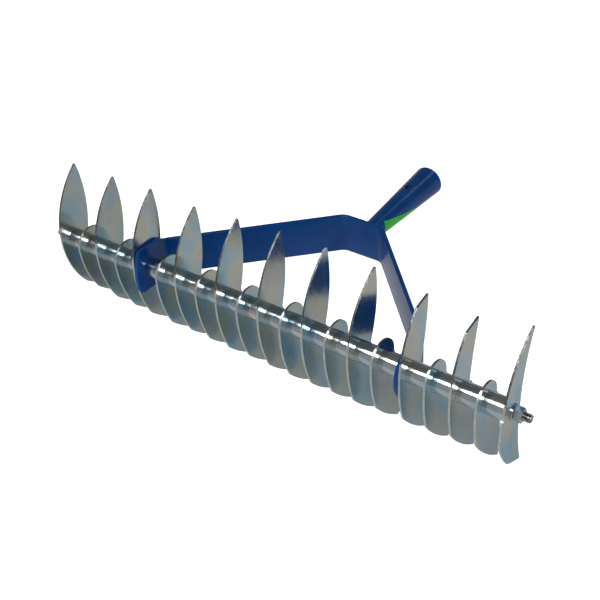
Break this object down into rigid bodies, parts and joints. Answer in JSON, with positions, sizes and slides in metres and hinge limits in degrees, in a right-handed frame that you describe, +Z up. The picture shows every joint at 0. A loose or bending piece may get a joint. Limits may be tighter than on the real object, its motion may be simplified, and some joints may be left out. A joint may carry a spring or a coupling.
{
  "type": "thatching rake head",
  "caption": "Rake head with a row of curved sheet-steel blades, long and short by turns, on a threaded rod in a flat-bar yoke with a handle socket.",
  "frame": {"origin": "centre of the bounding box's footprint on the floor, the rake lying on its tails and the socket's mouth", "axes": "+X along the row of blades, +Y back from the row to the handle socket, +Z up"},
  "size_m": [0.4174, 0.2348, 0.1202],
  "materials": {
    "blade_zinc": "bright zinc plate on rolled sheet",
    "bright_zinc": "bright zinc plate, polished",
    "enamel": "glossy enamel",
    "label": "gloss film"
  },
  "bodies": {
    "yoke": {"yoke_bar": "enamel", "socket": "enamel", "weld": "enamel", "label": "label"},
    "head": {"long_blade_01": "blade_zinc", "long_blade_02": "blade_zinc", "long_blade_03": "blade_zinc", "long_blade_04": "blade_zinc", "long_blade_05": "blade_zinc", "long_blade_06": "blade_zinc", "long_blade_07": "blade_zinc", "long_blade_08": "blade_zinc", "long_blade_09": "blade_zinc", "long_blade_10": "blade_zinc", "long_blade_11": "blade_zinc", "short_blade_01": "blade_zinc", "short_blade_02": "blade_zinc", "short_blade_03": "blade_zinc", "short_blade_04": "blade_zinc", "short_blade_05": "blade_zinc", "short_blade_06": "blade_zinc", "short_blade_07": "blade_zinc", "short_blade_08": "blade_zinc", "short_blade_09": "blade_zinc", "short_blade_10": "blade_zinc", "spacer_01": "bright_zinc", "spacer_02": "bright_zinc", "spacer_03": "bright_zinc", "spacer_04": "bright_zinc", "spacer_05": "bright_zinc", "spacer_06": "bright_zinc", "spacer_07": "bright_zinc", "spacer_08": "bright_zinc", "spacer_09": "bright_zinc", "spacer_10": "bright_zinc", "spacer_11": "bright_zinc", "spacer_12": "bright_zinc", "spacer_13": "bright_zinc", "spacer_14": "bright_zinc", "spacer_15": "bright_zinc", "spacer_16": "bright_zinc", "spacer_17": "bright_zinc", "spacer_18": "bright_zinc", "spacer_19": "bright_zinc", "spacer_20": "bright_zinc", "rod": "bright_zinc", "end_washers": "bright_zinc", "end_nuts": "bright_zinc"}
  },
  "joints": [
    {"name": "head_tilt", "type": "hinge", "parent": "yoke", "child": "head", "pos_m": [0.0018, -0.09639, 0.064], "axis": [1, 0, 0], "range_deg": [-50, 28]}
  ]
}
